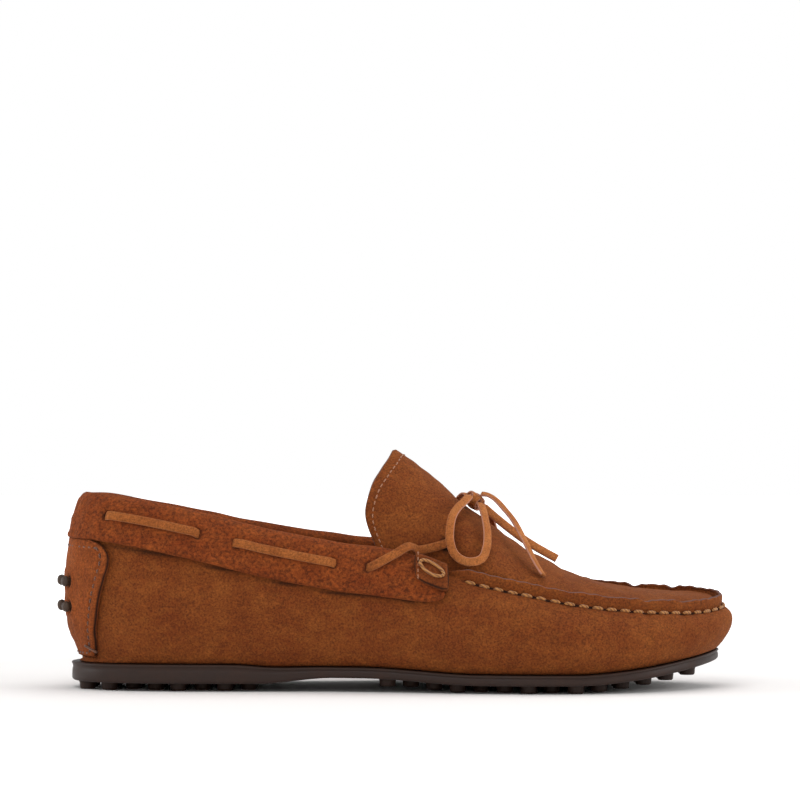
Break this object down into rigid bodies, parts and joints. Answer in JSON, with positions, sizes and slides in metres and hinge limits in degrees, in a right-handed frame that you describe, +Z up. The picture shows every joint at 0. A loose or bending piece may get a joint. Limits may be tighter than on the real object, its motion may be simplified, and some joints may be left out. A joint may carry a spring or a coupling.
{
  "type": "driving moccasin",
  "caption": "Low suede driving moccasin for the right foot, with a hand-sewn apron, a laced collar tied in a bow, a lifting tongue flap and a studded rubber sole.",
  "frame": {"origin": "middle of the shoe's footprint, on the ground under the studs", "axes": "+X to the toe, +Z up, -Y to the outer (lateral) side of the right foot"},
  "size_m": [0.2916, 0.1004, 0.1024],
  "materials": {
    "suede": "warm brown napped suede",
    "dark_suede": "darker red-brown long-napped suede",
    "lace_suede": "tan suede thong with raw cut edges",
    "thread": "waxed golden-tan sewing thread",
    "rubber": "dark brown moulded rubber, slight sheen",
    "lining": "smooth dark brown lining leather",
    "board": "pressed fibreboard",
    "foam": "cream latex foam"
  },
  "bodies": {
    "shoe": {"outsole": "rubber", "side_wall": "suede", "lining": "lining", "heel_counter": "board", "insole_board": "board", "footbed_foam": "foam", "sock_liner": "lining", "collar": "dark_suede", "heel_patch": "suede", "heel_pebble_insert": "rubber", "heel_patch_thread": "thread", "apron": "suede", "apron_lining": "lining", "apron_seam_thread": "thread", "tab_lateral": "dark_suede", "tab_medial": "dark_suede", "tab_thread_lateral": "thread", "tab_thread_medial": "thread", "lace": "lace_suede", "lace_knot": "lace_suede", "lace_loop_lateral": "lace_suede", "lace_loop_medial": "lace_suede", "lace_tail_lateral": "lace_suede", "lace_tail_medial": "lace_suede"},
    "tongue_flap": {"tongue": "suede", "tongue_lining": "lining", "tongue_hem_thread": "thread"}
  },
  "joints": [
    {"name": "tongue_fold", "type": "hinge", "parent": "shoe", "child": "tongue_flap", "pos_m": [0.0187, 0.0004, 0.0884], "axis": [0, 1, 0], "range_deg": [-4, 18], "stiffness_Nm_per_rad": 0.2}
  ]
}
